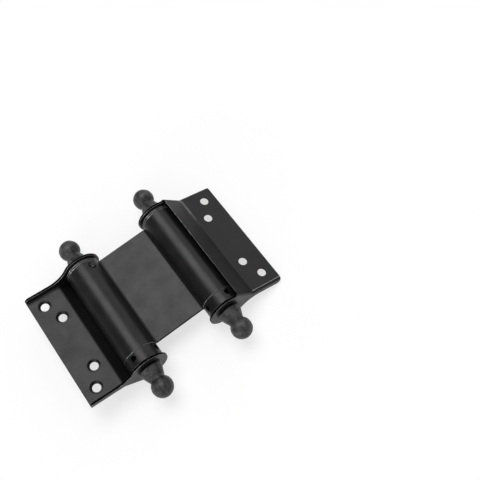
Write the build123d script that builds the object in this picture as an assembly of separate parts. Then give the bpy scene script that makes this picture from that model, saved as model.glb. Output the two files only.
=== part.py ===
from build123d import *
from math import acos, atan2, cos, degrees, hypot, radians, sin, sqrt, tan
import os

# Double action cafe hinge: a centre web rolled into two spring barrels, a folded leaf on each.
# Millimetres. Y runs along the barrels, X from the left leaf to the right one, Z is up.

# Sheet metal that the web and both leaves are made of
sheet = 1.5
bend_inside = 1.0
fold_inside = 0.5
edge_rounding = 0.3

# Barrels of the centre web
barrel_radius = 10.4
roll_bend_radius = 2.5
roll_seam_angle = 5.0
barrel_bore = barrel_radius - sheet
roll_radius = barrel_radius - sheet / 2

# Leaf, seen along the barrels from its own spindle
leaf_length = 76.0
leaf_reach = 37.2
leaf_offset = 3.6
wing_angle = 34.0
wing_clearance = 1.64
wing_overlap = 4.2
lip_edge = 0.4
lip_corner_radius = 2.5
lobe_clearance = 0.34
rise_radius = 14.0
ear_notch_radius = 1.4

# Screw holes of a leaf, countersunk on the side of the ears
hole_radius = 2.5
countersink_radius = 3.8
outer_hole_reach = 29.2
outer_hole_spacing = 58.6
inner_hole_reach = 24.0
inner_hole_spacing = 35.4

# Spindle and finials
spindle_radius = 3.2
spindle_grip = 5.5
spindle_chamfer = 0.5
finial_neck_radius = 5.0
finial_neck_length = 1.0
finial_base_radius = 7.1
finial_top_radius = 4.5
finial_edge_radius = 0.3
ball_radius = 6.4
ball_reach = 12.8
finial_bore_gap = 0.7

# Tension collar at the near end
collar_length = 7.6
collar_end_gap = 0.3
collar_chamfer = 0.4
collar_boss_length = 4.0
collar_hole_radius = 1.8
collar_hole_depth = 4.6
collar_hole_inset = 3.1
collar_hole_count = 4

# Fixed plug, its pin and the thrust washer at the far end
plug_flange = 1.4
plug_boss_length = 8.0
plug_pin_radius = 1.3
plug_pin_length = 5.0
plug_pin_inset = 3.3
plug_pin_angle = 40.0
pin_head_radius = 1.8
pin_head_height = 0.8
pin_head_rounding = 0.6
washer_thickness = 1.0
washer_setback = 0.2
washer_chamfer = 0.25
washer_gap = 0.3

# Torsion spring inside a barrel
wire = 2.2
spring_radius = 6.2
spring_end_gap = 0.4
tang_size = 1.8
tang_depth = 3.0
tang_hole_radius = 1.5
tang_hole_depth = 3.4
tang_lead = 10.0
spring_full_turns = 14

# Fits, and the distance under which two places count as the same
running_fit = 0.05
fixed_fit = 0.02
tolerance = 0.01

# Pose at rest: the left leaf tilts up, the right one droops until both touch the floor
left_leaf_tilt = 10.4
left_collar_turn = -21.9
right_collar_turn = 30.9

# Places that follow from the sizes above
ear_face = leaf_length / 2
ear_inner_face = ear_face - sheet
spindle_end = ear_face + spindle_grip
ball_center = ear_face + ball_reach
collar_near_end = -ear_inner_face + collar_end_gap
web_near_end = collar_near_end + collar_length
web_far_end = ear_inner_face - washer_gap - washer_thickness - plug_flange
collar_boss_end = web_near_end + collar_boss_length
plug_far_end = web_far_end + plug_flange
plug_boss_end = web_far_end - plug_boss_length
plug_pin_y = web_far_end - plug_pin_inset
bore_radius = spindle_radius + running_fit
wing_along = (-cos(radians(wing_angle)), sin(radians(wing_angle)))
wing_out = (sin(radians(wing_angle)), cos(radians(wing_angle)))
wing_inner = barrel_radius + wing_clearance
lobe_radius = wing_inner - lobe_clearance
plate_back = leaf_offset + sheet

# A closed leaf reaches over the web as far as the other leaf's crease
crease_reach = (wing_inner - leaf_offset * wing_out[1]) / wing_out[0]
axis_distance = leaf_reach + crease_reach


# Drawing helpers
def across(y):
    """The plane across the barrels at y, with X to the right and Z up."""
    return Plane(origin=(0, y, 0), x_dir=(1, 0, 0), z_dir=(0, -1, 0))


def slab(sketch, y_low, y_high):
    """A drawing across the barrels, made solid from y_low to y_high."""
    return extrude(across(y_high) * sketch, amount=y_high - y_low)


def rod(radius, y_low, y_high):
    return slab(Circle(radius), y_low, y_high)


def turned(outline):
    """A closed outline of (radius, y) points, turned round the Y axis."""
    return revolve(make_face(Polyline(*outline, close=True)), axis=Axis.Y)


def polygon(*points):
    return make_face(Polyline(*points, close=True))


def bent_strip(center, radius, start, sweep):
    """A piece of sheet that follows an arc through the middle of its thickness."""
    outer = CenterArc(center, radius + sheet / 2, start, sweep)
    inner = CenterArc(center, radius - sheet / 2, start, sweep)
    return make_face([outer, inner, Line(outer @ 0, inner @ 0), Line(outer @ 1, inner @ 1)])


def rounded(sketch, x, y, radius):
    """The drawing with its corner nearest to (x, y) rounded."""
    corner = sketch.vertices().sort_by_distance((x, y, 0))[0]
    return fillet(corner, radius)


def radial_hole(radius, bottom, top, y, angle):
    """A round cutter that points away from the Y axis, from one distance to another."""
    cutter = Pos(0, 0, (bottom + top) / 2) * Cylinder(radius, top - bottom)
    return Pos(0, y, 0) * Rot(0, angle, 0) * cutter


def lies_at(edge, *places):
    """Whether an edge stays at one y all along, and that y is one of the places."""
    shares = (0, 0.5, 1)
    return any(all(abs((edge @ share).Y - y) < tolerance for share in shares) for y in places)


# Centre web
def barrel_section():
    """Half of the web's section, with the barrel's own axis at the origin and the web to its right."""
    reach = sqrt((roll_radius + roll_bend_radius) ** 2 - roll_bend_radius**2)
    start = degrees(atan2(roll_bend_radius, reach))
    roll = bent_strip((0, 0), roll_radius, start, 360 - roll_seam_angle - start)
    bend = bent_strip((reach, roll_bend_radius), roll_bend_radius, 180 + start, 90 - start)
    half_flat = axis_distance / 2 - reach
    flat = Pos(reach + half_flat / 2, 0) * Rectangle(half_flat, sheet)
    return roll + bend + flat


def center_web():
    half = slab(barrel_section(), web_near_end, web_far_end)
    half = Pos(-axis_distance / 2, 0, 0) * (half - plug_pin_cutter())
    body = half + Rot(0, 180, 0) * half
    rims = [edge for edge in body.edges() if lies_at(edge, web_near_end, web_far_end)]
    return fillet(rims, edge_rounding)


# Leaf
def wing_point(along, out):
    """A point of the wing, measured along it and away from the spindle."""
    return (along * wing_along[0] + out * wing_out[0], along * wing_along[1] + out * wing_out[1])


wing_tip = wing_point(wing_overlap, wing_inner + sheet)


def crease_point(height):
    """The unrounded corner between plate and wing, at a height over the sheet's inner face."""
    return (crease_reach + height * tan(radians(wing_angle / 2)), leaf_offset + height)


def leaf_section():
    """Plate and wing, cut across. The ears' side is below."""
    shape = polygon(
        (leaf_reach, leaf_offset),
        crease_point(0),
        wing_point(wing_overlap, wing_inner),
        wing_tip,
        crease_point(sheet),
        (leaf_reach, plate_back),
    )
    shape = rounded(shape, *crease_point(0), bend_inside + sheet)
    return rounded(shape, *crease_point(sheet), bend_inside)


def ear_outline():
    """One end of the leaf: the lip along the plate, rising into the lobe round the spindle."""
    shape = polygon(
        (0, lip_edge),
        (leaf_reach, lip_edge),
        (leaf_reach, plate_back),
        crease_point(sheet),
        wing_tip,
        wing_point(wing_overlap, 0),
    )
    shape = rounded(shape, *crease_point(sheet), bend_inside)
    shape = rounded(shape, leaf_reach, lip_edge, lip_corner_radius)
    shape = shape + Circle(lobe_radius)
    shape = rounded(shape, lobe_radius, lip_edge, rise_radius)
    notch_out = sqrt(lobe_radius**2 - wing_overlap**2)
    shape = rounded(shape, *wing_point(wing_overlap, notch_out), ear_notch_radius)
    return shape - Circle(spindle_radius + fixed_fit)


def screw_hole(reach, y):
    """A countersunk hole through the plate, its wide mouth on the ears' side."""
    depth = countersink_radius - hole_radius
    outline = [
        (0, 0),
        (countersink_radius, 0),
        (hole_radius, depth),
        (hole_radius, 2 * sheet),
        (0, 2 * sheet),
    ]
    cutter = revolve(Plane.XZ * polygon(*outline), axis=Axis.Z)
    return Pos(reach, y, leaf_offset) * cutter


def on_sheet_face(point, height):
    """Whether a point lies on the plate, the crease or the wing, at a height over the inner face."""
    corner = crease_point(height)
    out = point.X * wing_out[0] + point.Z * wing_out[1]
    on_plate = abs(point.Z - leaf_offset - height) < tolerance and point.X > crease_reach
    on_wing = abs(out - wing_inner - height) < tolerance and point.Z > leaf_offset
    at_crease = hypot(point.X - corner[0], point.Z - corner[1]) < bend_inside / 2
    return on_plate or on_wing or at_crease


def fold_edges(body, height, y):
    """The long edges where the sheet turns into its ears, on one face of it."""
    folds = [edge for edge in body.edges() if lies_at(edge, -y, y)]
    return [edge for edge in folds if on_sheet_face(edge @ 0.5, height)]


def cut_edges(body):
    """The straight edges of plate and wing, which lead into the rims of the ears."""
    corners = (
        (leaf_reach, leaf_offset),
        (leaf_reach, plate_back),
        wing_point(wing_overlap, wing_inner),
        wing_tip,
    )
    edges = []
    for edge in body.edges().filter_by(Axis.Y):
        middle = edge @ 0.5
        if any(hypot(middle.X - x, middle.Z - z) < tolerance for x, z in corners):
            edges.append(edge)
    return edges


def leaf():
    body = slab(leaf_section(), -ear_face, ear_face)
    for side in (-1, 1):
        ears = sorted((side * ear_inner_face, side * ear_face))
        body = body + slab(ear_outline(), *ears)
    body = fillet(fold_edges(body, sheet, ear_face), fold_inside + sheet)
    body = fillet(fold_edges(body, 0, ear_inner_face), fold_inside)
    body = fillet(cut_edges(body), edge_rounding)
    for side in (-1, 1):
        body = body - screw_hole(outer_hole_reach, side * outer_hole_spacing / 2)
        body = body - screw_hole(inner_hole_reach, side * inner_hole_spacing / 2)
    return body


# Spindle and finials
def spindle():
    body = rod(spindle_radius, -spindle_end, spindle_end)
    return chamfer(body.edges().filter_by(GeomType.CIRCLE), spindle_chamfer)


def finial():
    """The far finial: a necked cone under a ball, with a blind bore for the spindle."""
    base = ear_face + finial_neck_length
    ball_foot = ball_center - sqrt(ball_radius**2 - finial_top_radius**2)
    stem = turned(
        [
            (0, ear_face),
            (finial_neck_radius, ear_face),
            (finial_neck_radius, base),
            (finial_base_radius, base),
            (finial_top_radius, ball_foot),
            (0, ball_foot + finial_edge_radius),
        ]
    )
    circles = stem.edges().filter_by(GeomType.CIRCLE)
    stem = fillet(circles.sort_by(lambda edge: edge.radius)[-1], finial_edge_radius)
    ball = Pos(0, ball_center, 0) * Rot(90, 0, 0) * Sphere(ball_radius)
    bore = rod(spindle_radius + fixed_fit, ear_face, spindle_end + finial_bore_gap)
    return stem + ball - bore


# Parts that close a barrel
def tang_cutter(y_low, y_high, angle):
    hole = Pos(0, 0, spring_radius) * rod(tang_hole_radius, y_low, y_high)
    return Rot(0, angle, 0) * hole


def tension_collar():
    """The near collar, with the first of its radial holes pointing up."""
    body = rod(barrel_radius, collar_near_end, web_near_end)
    body = chamfer(body.edges().filter_by(GeomType.CIRCLE), collar_chamfer)
    body = body + rod(barrel_bore - running_fit, web_near_end, collar_boss_end)
    body = body - rod(bore_radius, collar_near_end, collar_boss_end)
    hole_bottom = barrel_radius - collar_hole_depth
    hole_y = web_near_end - collar_hole_inset
    for index in range(collar_hole_count):
        turn = index * 360 / collar_hole_count
        body = body - radial_hole(collar_hole_radius, hole_bottom, barrel_radius + sheet, hole_y, turn)
    return body - tang_cutter(collar_boss_end - tang_hole_depth, collar_boss_end, 0)


def plug_pin_cutter():
    return radial_hole(
        plug_pin_radius + fixed_fit,
        barrel_radius - plug_pin_length - fixed_fit,
        barrel_radius + pin_head_height,
        plug_pin_y,
        plug_pin_angle,
    )


def fixed_plug():
    """The far plug, pinned inside the barrel, its flange flush with the barrel's outside."""
    body = rod(barrel_radius, web_far_end, plug_far_end)
    body = chamfer(body.edges().filter_by(GeomType.CIRCLE), collar_chamfer)
    body = body + rod(barrel_bore - fixed_fit, plug_boss_end, web_far_end)
    body = body - rod(bore_radius, plug_boss_end, plug_far_end)
    body = body - tang_cutter(plug_boss_end, plug_boss_end + tang_hole_depth, 0)
    return body - plug_pin_cutter()


def plug_pin():
    """A short pin through the barrel's wall, with a low round head that sits on the barrel."""
    shank_bottom = barrel_radius - plug_pin_length
    shank = radial_hole(plug_pin_radius, shank_bottom, barrel_radius, plug_pin_y, plug_pin_angle)
    head = Cylinder(pin_head_radius, 2 * pin_head_height)
    head = fillet(head.edges().filter_by(GeomType.CIRCLE).sort_by(Axis.Z)[-1], pin_head_rounding)
    head = Pos(0, plug_pin_y, 0) * Rot(0, plug_pin_angle, 0) * Pos(0, 0, barrel_radius) * head
    return shank + (head - rod(barrel_radius, plug_boss_end, web_far_end))


def thrust_washer():
    """The ring between plug and ear, a little smaller than the barrel."""
    body = rod(barrel_radius - washer_setback, plug_far_end, plug_far_end + washer_thickness)
    body = chamfer(body.edges().filter_by(GeomType.CIRCLE), washer_chamfer)
    return body - rod(bore_radius, plug_far_end, plug_far_end + washer_thickness)


def torsion_spring(collar_turn):
    """A coil of square wire, let down, with a tang at each end for the plug and the collar."""
    low = collar_boss_end + spring_end_gap + wire / 2
    high = plug_boss_end - spring_end_gap - wire / 2
    turns = spring_full_turns + (2 * tang_lead - collar_turn) / 360
    path = Helix((high - low) / turns, high - low, spring_radius)
    profile = Plane(origin=path @ 0, z_dir=path % 0) * Rectangle(wire, wire)
    coil = sweep(profile, path=path, is_frenet=True)
    start = radians(collar_turn - tang_lead)
    coil = Plane(origin=(0, low, 0), x_dir=(sin(start), 0, cos(start)), z_dir=(0, 1, 0)) * coil
    near_tang = tang(collar_boss_end - tang_depth, low, collar_turn)
    return coil + near_tang + tang(high, plug_boss_end + tang_depth, 0)


def tang(y_low, y_high, angle):
    """A straight end of the spring, along the barrel."""
    peg = Pos(0, spring_radius) * Rectangle(tang_size, tang_size)
    return Rot(0, angle, 0) * slab(peg, y_low, y_high)


# Assembly
def right_leaf_droop():
    """The angle at which the right leaf's lips reach down as far as the left leaf's wing."""
    tilt = radians(left_leaf_tilt)
    tip_center = wing_point(wing_overlap - edge_rounding, wing_inner + sheet - edge_rounding)
    lowest = tip_center[0] * sin(tilt) - tip_center[1] * cos(tilt) - edge_rounding
    corner_reach = leaf_reach - lip_corner_radius
    corner_height = lip_edge + lip_corner_radius
    span = hypot(corner_reach, corner_height)
    return degrees(acos((lowest + lip_corner_radius) / span) - atan2(corner_reach, corner_height))


def one_side(name, place, leaf_turn, collar_turn):
    """The parts round one barrel, in place. The leaf turns with its spindle, finials and washer."""
    on_web = place
    on_leaf = Pos(place.position) * Rot(0, leaf_turn, 0)
    near = Rot(180, 0, 0)
    return {
        name + "_leaf": on_leaf * leaf(),
        name + "_spindle": on_leaf * spindle(),
        name + "_far_finial": on_leaf * finial(),
        name + "_near_finial": on_leaf * near * finial(),
        name + "_thrust_washer": on_leaf * thrust_washer(),
        name + "_tension_collar": on_web * Rot(0, collar_turn, 0) * tension_collar(),
        name + "_fixed_plug": on_web * fixed_plug(),
        name + "_plug_pin": on_web * plug_pin(),
        name + "_torsion_spring": on_web * torsion_spring(collar_turn),
    }


def assembly():
    left_place = Pos(-axis_distance / 2, 0, 0)
    right_place = Pos(axis_distance / 2, 0, 0) * Rot(0, 180, 0)
    nodes = {"center_web": center_web()}
    nodes |= one_side("left", left_place, 180 + left_leaf_tilt, left_collar_turn)
    nodes |= one_side("right", right_place, right_leaf_droop(), right_collar_turn)
    return nodes


def on_floor(nodes):
    """Everything moved so that the middle of the underside of its box is the origin."""
    box = Compound(children=[Part(node.wrapped) for node in nodes.values()]).bounding_box()
    shift = Pos(-box.center().X, -box.center().Y, -box.min.Z)
    for side in (-1, 1):
        print("spindle at", shift.position + (side * axis_distance / 2, 0, 0))
    print("size", box.size, "right leaf droop", right_leaf_droop())
    return {name: shift * node for name, node in nodes.items()}


os.makedirs("parts", exist_ok=True)
for name, node in on_floor(assembly()).items():
    export_step(node, "parts/" + name + ".step")
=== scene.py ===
import math
import bmesh
import bpy
from mathutils import Matrix, Vector, noise

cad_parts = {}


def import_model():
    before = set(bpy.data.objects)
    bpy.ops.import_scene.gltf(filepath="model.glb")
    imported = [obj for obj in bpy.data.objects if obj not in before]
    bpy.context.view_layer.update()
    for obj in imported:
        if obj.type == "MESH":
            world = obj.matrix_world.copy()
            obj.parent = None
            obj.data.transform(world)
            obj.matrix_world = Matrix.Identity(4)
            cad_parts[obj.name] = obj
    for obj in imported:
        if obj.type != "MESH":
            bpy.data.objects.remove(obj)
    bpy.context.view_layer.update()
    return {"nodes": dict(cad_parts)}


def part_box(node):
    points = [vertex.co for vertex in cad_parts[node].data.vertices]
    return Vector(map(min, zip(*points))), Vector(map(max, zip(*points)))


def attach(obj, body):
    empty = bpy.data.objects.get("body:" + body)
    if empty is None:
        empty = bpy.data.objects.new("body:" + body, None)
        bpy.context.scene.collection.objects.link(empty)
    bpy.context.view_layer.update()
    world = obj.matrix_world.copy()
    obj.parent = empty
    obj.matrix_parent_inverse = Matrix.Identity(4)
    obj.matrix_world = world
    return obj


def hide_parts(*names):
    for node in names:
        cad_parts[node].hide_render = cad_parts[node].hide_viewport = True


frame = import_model()

# Metres. A black double action cafe hinge: painted sheet, turned collars and cast ball finials.
MM = 0.001
SIDES = ("left", "right")
ENDS = ("far", "near")

# Camera, found by fitting the hinge's own sizes to the photograph
CAMERA_AZIMUTH = 19.8
CAMERA_ELEVATION = 65.8
CAMERA_ROLL = -17.55
CAMERA_DISTANCE = 0.4375
CAMERA_TARGET = Vector((0.05742, -0.00757, 0.01270))
FOCAL_PIXELS = 755.2
PHOTO_WIDTH = 480
SENSOR = 36.0
CLIP_START = 0.01

# Sizes of the solids that the paint follows
EAR_FACE = 38.0 * MM
EAR_INNER_FACE = 36.5 * MM
EDGE_ROUNDING = 0.3 * MM
BARREL_RADIUS = 10.4 * MM
PIN_HEAD_RADIUS = 1.8 * MM

# Places on X, at rest: the tip and the crease of the right leaf's wing, and where the web's flat ends
WING_TIP = 36.2 * MM
CREASE = 44.6 * MM
WEB_REACH = 14.5 * MM

# Places on Y, from the middle: where the wing tip's bright line ends, and where the holes and pins lie
TIP_LINE_END = 35.6 * MM
HOLE_SPAN = (29.3 * MM, 33.6 * MM)

# Width of the painted shadow round a plug pin's head, standing in a gap
PIN_GAP_SHADE = 0.6 * MM

# Colours, gloss, and the look of cut edges, kept dark in part as painted shade, and of rubbed edges, bright
# in part as painted glints
PAINT = (0.007, 0.007, 0.0072)
WORN = (0.06, 0.06, 0.062)
# Rubbed edges: bare steel from wear, also set where edges catch bright glints, so in part a painted glint
RUBBED_GLINT = (0.4, 0.4, 0.41)
CAST_PAINT = (0.032, 0.032, 0.0325)
SPINDLE_STEEL = (0.22, 0.22, 0.23)
SPRING_STEEL = (0.1, 0.1, 0.105)
PAINT_IOR = 1.42
CAST_IOR = 1.5
CAST_ROUGHNESS = 0.47
CUT_ROUGHNESS = 0.8
# How dark the cut edges are made: their dull steel, and in part painted shade
CUT_SHADE = 0.15
RUBBED_GLINT_METAL = 0.9
RUBBED_GLINT_GLOSS = 0.08
DUST_SHARE = 0.35

# Scale of each noise, in blobs to the metre, and the depth of those in the relief
CLOUD_SCALE = 55
WAVE_SCALE, WAVE_DEPTH = 42, 0.10 * MM
GLOSS_SCALE = 95
GRAIN_SCALE, GRAIN_DEPTH = 900, 0.004 * MM
DUST_SCALE = 2600
PORE_SCALE, PORE_DEPTH = 3200, 0.0012 * MM
WEAR_SCALE = 240
RUB_GLINT_SCALE = 330
LUMP_SCALE, LUMP_DEPTH = 230, 0.35 * MM
STREAK_STRETCH, STREAK_DEPTH = (520, 130, 520), 0.1 * MM
CAST_GLOSS_SCALE = 330
CAST_GRAIN_SCALE, CAST_GRAIN_DEPTH = 1300, 0.02 * MM
RING_STRETCH, RING_DEPTH = (300, 9000, 300), 0.004 * MM
FILM_SCALE = 160

# Reach of the rounded normals at edges, and of the worn edges, with the turn at which they are all worn
PAINT_ROUNDING = 0.22 * MM
CAST_ROUNDING = 0.2 * MM
STEEL_ROUNDING = 0.1 * MM
WEAR_REACH = 0.35 * MM
WEAR_TURN = 0.35
BEVEL_SAMPLES = 6

# Finial, as turned and cast: sizes repeat the solid's own
BALL_RADIUS = 6.4 * MM
BASE_RADIUS = 7.1 * MM
BASE_ROUNDING = 0.4 * MM
NECK_RADIUS = 5.0 * MM
NECK_LENGTH = 1.0 * MM
TOP_RADIUS = 4.5 * MM
BORE_RADIUS = 3.22 * MM
BORE_DEPTH = 6.2 * MM
FINIAL_SEGMENTS = 112
ROUNDING_STEPS = 5
CONE_STEPS = 14
BALL_STEPS = 40

# The cast skin's lumps: depth, then scale and share of the coarse and the fine ones
CAST_DEPTH = 0.2 * MM
COARSE_LUMPS, COARSE_SHARE = 260, 0.65
FINE_LUMPS, FINE_SHARE = 620, 0.35
FINE_OFFSET = Vector((3, 1, 2))
LUMP_GAIN = 1.6
# The bore stays smooth, up to this much past its own size
BORE_MARGIN = 1.1

# Floor and room
FLOOR_SIZE = 6.0
FLOOR_ALBEDO = 0.37
FLOOR_GLOW = 0.67
FLOOR_ROUGHNESS = 0.9
FLOOR_SPECULAR = 0.1
ROOM_LEVEL = 0.04
HORIZON_LEVEL = 0.25
HORIZON_HEIGHT = 0.3

# Soft round lamps far away: direction, width in degrees and radiance
LAMPS = {
    "key": ((0.05, 0.34, 0.94), 44, 3.9),
    "top": ((0.0, -0.3, 0.95), 44, 0.4),
    "side_back": ((0.78, 0.42, 0.45), 44, 1.15),
    "side_front": ((0.75, -0.42, 0.5), 40, 0.6),
    "front_left": ((-0.55, -0.62, 0.5), 50, 1.4),
    "left_low": ((-0.87, -0.48, 0.14), 26, 3.4),
    "back_left": ((-0.6, 0.75, 0.25), 30, 1.1),
}


# Node helpers
def shaded(color, amount):
    """A colour made darker or brighter."""
    return tuple(channel * amount for channel in color)


class Nodes:
    """A material's node tree, with short calls for the nodes that the finishes use."""

    def __init__(self, name):
        self.material = bpy.data.materials.new(name)
        self.material.use_nodes = True
        self.tree = self.material.node_tree
        self.shader = self.tree.nodes["Principled BSDF"]
        sources = self.tree.nodes.new("ShaderNodeTexCoord").outputs
        self.coordinates = sources["Object"]
        place = self.parts(sources["Object"])
        normal = self.parts(sources["Normal"])
        # Where a point lies
        self.across = place["X"]
        self.along = place["Y"]
        self.end_distance = self.size(place["Y"])
        # How its face is turned. endways is how far it looks towards its own end of the hinge
        self.slope = normal["X"]
        self.upward = normal["Z"]
        self.sideways = self.size(normal["X"])
        self.endways = self.product(normal["Y"], self.math("SIGN", place["Y"], 0))

    def link(self, source, target):
        self.tree.links.new(source, target)

    def set(self, name, value):
        """Sets or links one of the shader's sockets."""
        if isinstance(value, (int, float)):
            self.shader.inputs[name].default_value = value
        else:
            self.link(value, self.shader.inputs[name])

    def parts(self, vector):
        node = self.tree.nodes.new("ShaderNodeSeparateXYZ")
        self.link(vector, node.inputs["Vector"])
        return node.outputs

    def math(self, operation, first, second):
        node = self.tree.nodes.new("ShaderNodeMath")
        node.operation = operation
        for socket, value in zip(node.inputs, (first, second)):
            if isinstance(value, (int, float)):
                socket.default_value = value
            else:
                self.link(value, socket)
        return node.outputs["Value"]

    def size(self, value):
        """A value without its sign."""
        return self.math("ABSOLUTE", value, 0)

    def product(self, first, *others):
        for other in others:
            first = self.math("MULTIPLY", first, other)
        return first

    def most(self, first, *others):
        """The highest of several values."""
        for other in others:
            first = self.math("MAXIMUM", first, other)
        return first

    def without(self, mask):
        """What a mask leaves out."""
        return self.math("SUBTRACT", 1, mask)

    def ramp(self, source, low, high, out_low=0.0, out_high=1.0):
        """A smooth step from one level, where the source is low, to another, where it is high."""
        node = self.tree.nodes.new("ShaderNodeMapRange")
        node.interpolation_type = "SMOOTHSTEP"
        node.inputs["From Min"].default_value = low
        node.inputs["From Max"].default_value = high
        node.inputs["To Min"].default_value = out_low
        node.inputs["To Max"].default_value = out_high
        self.link(source, node.inputs["Value"])
        return node.outputs["Result"]

    def fall(self, source, low, high):
        """1 below a value and 0 above another."""
        return self.ramp(source, low, high, 1.0, 0.0)

    def band(self, source, low, high, soft):
        """1 between two values and 0 beyond them, with soft ends inside."""
        return self.product(self.ramp(source, low, low + soft), self.fall(source, high - soft, high))

    def distance(self, spot):
        """How far each point lies from a spot."""
        node = self.tree.nodes.new("ShaderNodeVectorMath")
        node.operation = "DISTANCE"
        self.link(self.coordinates, node.inputs[0])
        node.inputs[1].default_value = spot
        return node.outputs["Value"]

    def noise(self, scale, detail=3.0, roughness=0.5, stretch=None):
        """Noise with this many blobs to the metre. stretch multiplies the coordinates."""
        node = self.tree.nodes.new("ShaderNodeTexNoise")
        node.inputs["Scale"].default_value = scale
        node.inputs["Detail"].default_value = detail
        node.inputs["Roughness"].default_value = roughness
        source = self.coordinates
        if stretch:
            mapping = self.tree.nodes.new("ShaderNodeMapping")
            mapping.inputs["Scale"].default_value = stretch
            self.link(source, mapping.inputs["Vector"])
            source = mapping.outputs["Vector"]
        self.link(source, node.inputs["Vector"])
        return node.outputs["Fac"]

    def mix(self, factor, first, second):
        """A colour between two others. Each of the two is a socket or a colour."""
        node = self.tree.nodes.new("ShaderNodeMix")
        node.data_type = "RGBA"
        self.link(factor, node.inputs["Factor"])
        for key, value in (("A", first), ("B", second)):
            socket = [s for s in node.inputs if s.name == key and s.type == "RGBA"][0]
            if isinstance(value, tuple):
                socket.default_value = (*value, 1.0)
            else:
                self.link(value, socket)
        return [s for s in node.outputs if s.type == "RGBA"][0]

    def rounded_normal(self, radius):
        """The surface's normal, rounded near its edges."""
        bevel = self.tree.nodes.new("ShaderNodeBevel")
        bevel.samples = BEVEL_SAMPLES
        bevel.inputs["Radius"].default_value = radius
        return bevel.outputs["Normal"]

    def edges(self, radius, amount):
        """Near 1 on sharp edges and 0 elsewhere, from how far a rounded normal turns."""
        geometry = self.tree.nodes.new("ShaderNodeNewGeometry")
        dot = self.tree.nodes.new("ShaderNodeVectorMath")
        dot.operation = "DOT_PRODUCT"
        self.link(self.rounded_normal(radius), dot.inputs[0])
        self.link(geometry.outputs["Normal"], dot.inputs[1])
        return self.fall(dot.outputs["Value"], 1.0 - amount, 1.0)

    def relief(self, layers, rounding):
        """Bumps one over the other, on normals that are rounded at the edges."""
        normal = self.rounded_normal(rounding)
        for height, distance in layers:
            bump = self.tree.nodes.new("ShaderNodeBump")
            bump.inputs["Strength"].default_value = 1.0
            bump.inputs["Distance"].default_value = distance
            self.link(height, bump.inputs["Height"])
            self.link(normal, bump.inputs["Normal"])
            normal = bump.outputs["Normal"]
        self.set("Normal", normal)


# Masks, from where a point lies and how its face is turned. Lengths are given in MM. Other numbers are
# parts of the face's unit normal, or how strong the mask is.
def leaf_cuts_and_shade(nodes):
    """1 on the cut edges of a leaf: the rims of its ears and the long edge of its plate. They are rough cut
    steel, made darker than it as painted shade.
    """
    past_fold = nodes.ramp(nodes.end_distance, EAR_INNER_FACE - 0.2 * MM, EAR_INNER_FACE)
    upright = nodes.band(nodes.endways, -0.3, 0.2, 0.1)
    plate_end = nodes.ramp(nodes.sideways, 0.88, 0.92)
    return nodes.most(nodes.product(past_fold, upright), plate_end)


def leaf_rub_and_glint(nodes):
    """1 on the outer small roundings along the rims of the ears, and on the far ear's inner one: rubbed
    edges and painted glints.
    """
    facing_in = nodes.band(nodes.endways, -0.9, -0.3, 0.15)
    inner = nodes.product(facing_in, nodes.ramp(nodes.along, EAR_INNER_FACE - 0.05 * MM, EAR_INNER_FACE))
    facing_out = nodes.band(nodes.endways, 0.2, 0.75, 0.1)
    start = EAR_FACE - EDGE_ROUNDING
    outer = nodes.product(facing_out, nodes.ramp(nodes.end_distance, start - 0.02 * MM, start + 0.03 * MM))
    return nodes.most(inner, outer)


def right_leaf_cuts_and_shade(nodes):
    """As the other leaf's cut edges, with the wing's tip, and painted shade over the wing itself, less
    towards its far end.
    """
    tip = nodes.product(nodes.band(nodes.slope, -0.75, -0.4, 0.1), nodes.ramp(nodes.upward, 0.65, 0.72))
    # Painted shade on the wing: darker and duller than its lit paint
    wing_shade = nodes.product(
        nodes.ramp(nodes.slope, 0.55, 0.65),
        nodes.ramp(nodes.upward, 0.3, 0.4),
        nodes.ramp(nodes.along, 0, 34 * MM, 0.45, 0.1),
    )
    return nodes.most(leaf_cuts_and_shade(nodes), tip, wing_shade)


def right_leaf_rub_and_glint(nodes):
    """The rubbed edges and glints of the other leaf, with painted highlights along the upper fold lines:
    the plate's near end, the wing's tip, the far crease.
    """
    # Painted highlight along the fold at the plate's near end, where a lamp would catch it
    fold_highlight = nodes.product(
        nodes.band(nodes.endways, 0.10, 0.42, 0.08),
        nodes.band(nodes.slope, 0.27, 0.45, 0.04),
        nodes.ramp(nodes.along, -EAR_INNER_FACE, 1.0 * MM - EAR_INNER_FACE, 0.8, 0.0),
    )
    # Painted glint along the wing's tip
    tip = nodes.product(
        nodes.band(nodes.slope, -0.45, 0.72, 0.1),
        nodes.ramp(nodes.upward, 0.6, 0.7),
        nodes.fall(nodes.across, WING_TIP, WING_TIP + 0.5 * MM),
        nodes.fall(nodes.end_distance, TIP_LINE_END - 0.4 * MM, TIP_LINE_END),
        nodes.ramp(nodes.along, -35 * MM, 30 * MM, 0.1, 0.45),
    )
    # Painted highlight along the crease, stronger towards the far end, standing for a wider bend there
    crease_highlight = nodes.product(
        nodes.fall(nodes.size(nodes.math("SUBTRACT", nodes.across, CREASE)), 0.1 * MM, 1.3 * MM),
        nodes.ramp(nodes.upward, 0.4, 0.5),
        nodes.ramp(nodes.along, 12 * MM, 35 * MM, 0.0, 0.45),
    )
    return nodes.most(leaf_rub_and_glint(nodes), fold_highlight, tip, crease_highlight)


def between_barrels(nodes):
    """1 on the flat of the web."""
    return nodes.fall(nodes.size(nodes.across), WEB_REACH, WEB_REACH + 1.0 * MM)


def pin_head(side):
    """The middle of a plug pin's head, on the barrel's face."""
    boxes = (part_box(f"{side}_plug_pin"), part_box(f"{side}_fixed_plug"))
    pin, plug = ((low + high) / 2 for low, high in boxes)
    axis = Vector((plug.x, pin.y, plug.z))
    return axis + (pin - axis).normalized() * BARREL_RADIUS


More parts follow.
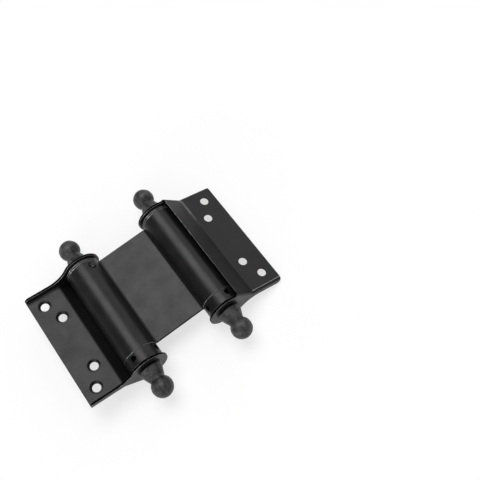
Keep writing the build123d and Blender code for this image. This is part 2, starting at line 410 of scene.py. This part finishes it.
def web_cuts_and_shade(nodes):
    """1 on the cut ends of the web and its barrels, rough cut steel made darker as painted shade, and on
    rings of painted shadow round the plug pins' heads.
    """
    ends = nodes.size(nodes.endways)
    flat = nodes.product(nodes.ramp(ends, 0.2, 0.4), between_barrels(nodes))
    mask = nodes.most(nodes.ramp(ends, 0.8, 0.95), flat)
    for side in SIDES:
        reach = nodes.distance(pin_head(side))
        gap_shade = nodes.fall(reach, PIN_HEAD_RADIUS + PIN_GAP_SHADE * 0.6, PIN_HEAD_RADIUS + PIN_GAP_SHADE)
        mask = nodes.most(mask, gap_shade)
    return mask


def end_rub_and_glint(nodes):
    """1 on the chamfers and roundings at the ends of what is turned or rolled, but not in its holes: rubbed
    edges and painted glints.
    """
    slanted = nodes.band(nodes.size(nodes.endways), 0.3, 0.92, 0.15)
    off_holes = nodes.band(nodes.end_distance, *HOLE_SPAN, 0.1 * MM)
    return nodes.product(slanted, nodes.without(off_holes))


def web_rub_and_glint(nodes):
    """As end_rub_and_glint, on the barrels alone."""
    return nodes.product(end_rub_and_glint(nodes), nodes.without(between_barrels(nodes)))


# Materials
def satin_black(name, roughness, wear, rounding, cuts=None):
    """Black paint on steel: fine peel, soft cloudy gloss, dust in it, and edges rubbed bright to bare
    steel, which also paints glints along them.
    """
    nodes = Nodes(name)
    cloud = nodes.ramp(nodes.noise(CLOUD_SCALE), 0.3, 0.7)
    grain = nodes.noise(GRAIN_SCALE, 2)
    dust = nodes.ramp(nodes.noise(DUST_SCALE, 2), 0.66, 0.74)
    base = nodes.mix(cloud, shaded(PAINT, 0.85), shaded(PAINT, 1.2))
    base = nodes.mix(nodes.product(dust, DUST_SHARE), base, WORN)
    patches = nodes.ramp(nodes.noise(WEAR_SCALE, 4), 0.35, 0.65)
    worn = nodes.product(nodes.edges(WEAR_REACH, WEAR_TURN), patches, wear)
    base = nodes.mix(worn, base, WORN)
    gloss = nodes.ramp(nodes.noise(GLOSS_SCALE, 4, 0.6), 0.25, 0.75, roughness - 0.05, roughness + 0.05)
    gloss = nodes.math("ADD", gloss, nodes.ramp(grain, 0.3, 0.7, -0.02, 0.02))
    # Bright metal along the masked roundings: partly wear, partly painted glints
    rub_and_glint = nodes.product(rounding(nodes), nodes.ramp(nodes.noise(RUB_GLINT_SCALE), 0.35, 0.6, 0.3, 1.0))
    metal = nodes.product(rub_and_glint, RUBBED_GLINT_METAL)
    if cuts:
        # A metal this dark has hardly any gloss over it, which keeps the cut edges black: their own dull
        # steel, and painted shade over it
        cut_and_shade = cuts(nodes)
        base = nodes.mix(cut_and_shade, base, shaded(PAINT, CUT_SHADE))
        gloss = nodes.math("ADD", gloss, nodes.product(cut_and_shade, CUT_ROUGHNESS - roughness))
        metal = nodes.most(metal, cut_and_shade)
    nodes.set("Base Color", nodes.mix(rub_and_glint, base, RUBBED_GLINT))
    nodes.set("Roughness", nodes.math("SUBTRACT", gloss, nodes.product(rub_and_glint, RUBBED_GLINT_GLOSS)))
    nodes.set("Metallic", metal)
    nodes.set("IOR", PAINT_IOR)
    wave, pores = nodes.noise(WAVE_SCALE, 1), nodes.noise(PORE_SCALE, 2)
    nodes.relief([(wave, WAVE_DEPTH), (grain, GRAIN_DEPTH), (pores, PORE_DEPTH)], PAINT_ROUNDING)
    return nodes.material


def cast_black():
    """Matte black over a lumpy casting, cloudy and drawn out along the finial."""
    nodes = Nodes("cast_black")
    lump = nodes.noise(LUMP_SCALE, 3, 0.6)
    streak = nodes.noise(1, 3, 0.6, STREAK_STRETCH)
    tone = nodes.math("ADD", nodes.product(lump, 0.5), nodes.product(streak, 0.5))
    tone = nodes.ramp(tone, 0.38, 0.62)
    nodes.set("Base Color", nodes.mix(tone, shaded(CAST_PAINT, 0.25), shaded(CAST_PAINT, 1.9)))
    gloss = nodes.noise(CAST_GLOSS_SCALE, 4, 0.6)
    nodes.set("Roughness", nodes.ramp(gloss, 0.3, 0.7, CAST_ROUGHNESS - 0.1, CAST_ROUGHNESS + 0.1))
    nodes.set("IOR", CAST_IOR)
    grain = nodes.noise(CAST_GRAIN_SCALE)
    nodes.relief([(lump, LUMP_DEPTH), (streak, STREAK_DEPTH), (grain, CAST_GRAIN_DEPTH)], CAST_ROUNDING)
    return nodes.material


def turned_steel(name, color, roughness):
    """Bare steel with fine lathe lines round it and a thin film of oil."""
    nodes = Nodes(name)
    film = nodes.noise(FILM_SCALE)
    nodes.set("Base Color", nodes.mix(nodes.ramp(film, 0.3, 0.7), shaded(color, 0.8), shaded(color, 1.15)))
    nodes.set("Roughness", nodes.ramp(film, 0.25, 0.75, roughness - 0.05, roughness + 0.08))
    nodes.set("Metallic", 1.0)
    nodes.relief([(nodes.noise(1, 2, stretch=RING_STRETCH), RING_DEPTH)], STEEL_ROUNDING)
    return nodes.material


# Each paint's roughness, how much its worn edges show, its mask for rubbed edges with painted glints, and
# its mask for cut edges with painted shade
PAINTS = {
    "web_paint": (0.40, 0.35, web_rub_and_glint, web_cuts_and_shade),
    "leaf_paint": (0.41, 0.35, leaf_rub_and_glint, leaf_cuts_and_shade),
    "right_leaf_paint": (0.41, 0.35, right_leaf_rub_and_glint, right_leaf_cuts_and_shade),
    "collar_paint": (0.37, 0.7, end_rub_and_glint),
    "washer_paint": (0.42, 0.6, end_rub_and_glint),
}
# Each steel's colour and roughness
STEELS = {
    "spindle_steel": (SPINDLE_STEEL, 0.35),
    "spring_steel": (SPRING_STEEL, 0.4),
}
# What each side's nodes are finished with
NODE_FINISH = {
    "leaf": "leaf_paint",
    "spindle": "spindle_steel",
    "thrust_washer": "washer_paint",
    "tension_collar": "collar_paint",
    "fixed_plug": "collar_paint",
    "plug_pin": "collar_paint",
    "torsion_spring": "spring_steel",
}


def paint_nodes():
    """Gives every solid its paint or steel."""
    materials = {name: satin_black(name, *look) for name, look in PAINTS.items()}
    materials |= {name: turned_steel(name, *look) for name, look in STEELS.items()}
    finish = {f"{side}_{part}": name for side in SIDES for part, name in NODE_FINISH.items()}
    finish |= {"center_web": "web_paint", "right_leaf": "right_leaf_paint"}
    for node, name in finish.items():
        for slot in frame["nodes"][node].material_slots:
            slot.material = materials[name]


# Finials
def finial_profile(length):
    """(radius, distance from the ear) from the bore's end, round the outside, to the ball's top."""
    ball_center = length - BALL_RADIUS
    foot = ball_center - math.sqrt(BALL_RADIUS**2 - TOP_RADIUS**2)
    points = [(0, BORE_DEPTH), (BORE_RADIUS / 2, BORE_DEPTH), (BORE_RADIUS, BORE_DEPTH)]
    points += [(BORE_RADIUS, BORE_DEPTH / 2), (BORE_RADIUS, 0)]
    points += [((BORE_RADIUS + NECK_RADIUS) / 2, 0), (NECK_RADIUS, 0)]
    points += [(NECK_RADIUS, NECK_LENGTH), (BASE_RADIUS - BASE_ROUNDING, NECK_LENGTH)]
    for step in range(1, ROUNDING_STEPS + 1):
        turn = math.radians(90 * step / ROUNDING_STEPS)
        radius = BASE_RADIUS - BASE_ROUNDING * (1 - math.sin(turn))
        points.append((radius, NECK_LENGTH + BASE_ROUNDING * (1 - math.cos(turn))))
    radius, reach = points[-1]
    for step in range(1, CONE_STEPS + 1):
        share = step / CONE_STEPS
        points.append((radius + (TOP_RADIUS - radius) * share, reach + (foot - reach) * share))
    first = math.acos(-math.sqrt(1 - (TOP_RADIUS / BALL_RADIUS) ** 2))
    for step in range(1, BALL_STEPS + 1):
        turn = first * (1 - step / BALL_STEPS)
        points.append((BALL_RADIUS * math.sin(turn), ball_center + BALL_RADIUS * math.cos(turn)))
    return points


def ring_of_points(form, foot, out, radius, reach):
    """One ring of the finial, or the single point at either end of its profile."""
    count = FINIAL_SEGMENTS if radius > 0 else 1
    turns = [2 * math.pi * index / count for index in range(count)]
    spots = [Vector((radius * math.cos(turn), out * reach, radius * math.sin(turn))) for turn in turns]
    return [form.verts.new(foot + spot) for spot in spots]


def finial(side, end, material):
    """A finial as a lumpy casting, inside the turned solid that it stands for."""
    node = f"{side}_{end}_finial"
    low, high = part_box(node)
    out = 1 if end == "far" else -1
    foot = Vector(((low.x + high.x) / 2, low.y if out > 0 else high.y, (low.z + high.z) / 2))
    form = bmesh.new()
    rings = [ring_of_points(form, foot, out, *point) for point in finial_profile(high.y - low.y)]
    for lower, upper in zip(rings, rings[1:]):
        for index in range(FINIAL_SEGMENTS):
            after = (index + 1) % FINIAL_SEGMENTS
            corners = [lower[index % len(lower)], lower[after % len(lower)]]
            corners += [upper[after % len(upper)], upper[index % len(upper)]]
            # Beside a single point two corners are the same, and one is dropped
            form.faces.new(list(dict.fromkeys(corners)))
    bmesh.ops.recalc_face_normals(form, faces=form.faces)
    roughen(form, foot, out)
    for face in form.faces:
        face.smooth = True
    mesh = bpy.data.meshes.new(f"{node}_cast")
    form.to_mesh(mesh)
    form.free()
    piece = bpy.data.objects.new(f"{node}_cast", mesh)
    bpy.context.scene.collection.objects.link(piece)
    piece.data.materials.append(material)
    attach(piece, f"{side}_leaf_set")
    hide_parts(node)


def roughen(form, foot, out):
    """Sinks the cast skin beyond the neck by a shallow, uneven amount."""
    form.normal_update()
    for vert in form.verts:
        reach = (vert.co.y - foot.y) * out
        radius = math.hypot(vert.co.x - foot.x, vert.co.z - foot.z)
        in_bore = radius < BORE_RADIUS * BORE_MARGIN and reach < BORE_DEPTH * BORE_MARGIN
        if reach < NECK_LENGTH + BASE_ROUNDING or in_bore:
            continue
        lump = COARSE_SHARE * noise.noise(vert.co * COARSE_LUMPS)
        lump += FINE_SHARE * noise.noise(vert.co * FINE_LUMPS + FINE_OFFSET)
        vert.co -= vert.normal * CAST_DEPTH * (0.5 + 0.5 * max(-1, min(1, LUMP_GAIN * lump)))


# Floor, lamps and camera
def seen_white(tree):
    """1 for rays from the camera and for reflections of it, 0 for light that falls on things."""
    path = tree.nodes.new("ShaderNodeLightPath")
    total = path.outputs["Is Camera Ray"]
    for name in ("Is Glossy Ray", "Is Transmission Ray"):
        node = tree.nodes.new("ShaderNodeMath")
        node.operation = "MAXIMUM"
        tree.links.new(total, node.inputs[0])
        tree.links.new(path.outputs[name], node.inputs[1])
        total = node.outputs["Value"]
    return total


def floor():
    """A pale floor that keeps the hinge's shadow and looks nearly white to the camera."""
    bpy.ops.mesh.primitive_plane_add(size=FLOOR_SIZE, location=(0, 0, 0))
    plane = bpy.context.object
    plane.name = "floor"
    material = bpy.data.materials.new("floor_white")
    material.use_nodes = True
    tree = material.node_tree
    shader = tree.nodes["Principled BSDF"]
    shader.inputs["Base Color"].default_value = (FLOOR_ALBEDO, FLOOR_ALBEDO, FLOOR_ALBEDO, 1)
    shader.inputs["Roughness"].default_value = FLOOR_ROUGHNESS
    shader.inputs["Specular IOR Level"].default_value = FLOOR_SPECULAR
    glow = tree.nodes.new("ShaderNodeMath")
    glow.operation = "MULTIPLY"
    glow.inputs[1].default_value = FLOOR_GLOW
    tree.links.new(seen_white(tree), glow.inputs[0])
    shader.inputs["Emission Color"].default_value = (1, 1, 1, 1)
    tree.links.new(glow.outputs["Value"], shader.inputs["Emission Strength"])
    plane.data.materials.append(material)


def sun(name, towards, angle, radiance):
    """A soft round lamp far away, as bright as a surface of that radiance and angular width."""
    lamp = bpy.data.lights.new(name, "SUN")
    lamp.angle = math.radians(angle)
    lamp.energy = radiance * math.pi * math.sin(lamp.angle / 2) ** 2
    holder = bpy.data.objects.new(name, lamp)
    holder.rotation_euler = Vector(towards).to_track_quat("Z", "Y").to_euler()
    bpy.context.scene.collection.objects.link(holder)


def world():
    """A dim room with a pale horizon all round, and a white backdrop for the camera."""
    room = bpy.data.worlds.new("room")
    bpy.context.scene.world = room
    room.use_nodes = True
    tree = room.node_tree
    background = tree.nodes["Background"]
    background.inputs["Color"].default_value = (1, 1, 1, 1)
    direction = tree.nodes.new("ShaderNodeSeparateXYZ")
    tree.links.new(tree.nodes.new("ShaderNodeTexCoord").outputs["Generated"], direction.inputs["Vector"])
    height = tree.nodes.new("ShaderNodeMapRange")
    height.interpolation_type = "SMOOTHSTEP"
    height.inputs["From Min"].default_value = 0.0
    height.inputs["From Max"].default_value = HORIZON_HEIGHT
    height.inputs["To Min"].default_value = HORIZON_LEVEL
    height.inputs["To Max"].default_value = ROOM_LEVEL
    tree.links.new(direction.outputs["Z"], height.inputs["Value"])
    path = tree.nodes.new("ShaderNodeLightPath")
    level = tree.nodes.new("ShaderNodeMath")
    level.operation = "MAXIMUM"
    tree.links.new(path.outputs["Is Camera Ray"], level.inputs[0])
    tree.links.new(height.outputs["Result"], level.inputs[1])
    tree.links.new(level.outputs["Value"], background.inputs["Strength"])


def camera():
    """The photograph's viewpoint."""
    azimuth, elevation, roll = (math.radians(a) for a in (CAMERA_AZIMUTH, CAMERA_ELEVATION, CAMERA_ROLL))
    ahead = Vector((
        math.sin(azimuth) * math.cos(elevation),
        math.cos(azimuth) * math.cos(elevation),
        -math.sin(elevation),
    ))
    right = Vector((math.cos(azimuth), -math.sin(azimuth), 0))
    up = right.cross(ahead)
    right, up = (
        right * math.cos(roll) + up * math.sin(roll),
        up * math.cos(roll) - right * math.sin(roll),
    )
    data = bpy.data.cameras.new("camera")
    data.sensor_width = SENSOR
    data.lens = FOCAL_PIXELS * SENSOR / PHOTO_WIDTH
    data.clip_start = CLIP_START
    holder = bpy.data.objects.new("camera", data)
    turn = Matrix((right, up, -ahead)).transposed().to_4x4()
    holder.matrix_world = Matrix.Translation(CAMERA_TARGET - ahead * CAMERA_DISTANCE) @ turn
    bpy.context.scene.collection.objects.link(holder)
    bpy.context.scene.camera = holder


paint_nodes()
finial_finish = cast_black()
for side in SIDES:
    for end in ENDS:
        finial(side, end, finial_finish)
floor()
for name, (towards, angle, radiance) in LAMPS.items():
    sun(name, towards, angle, radiance)
world()
camera()
bpy.context.scene.view_settings.view_transform = "Standard"
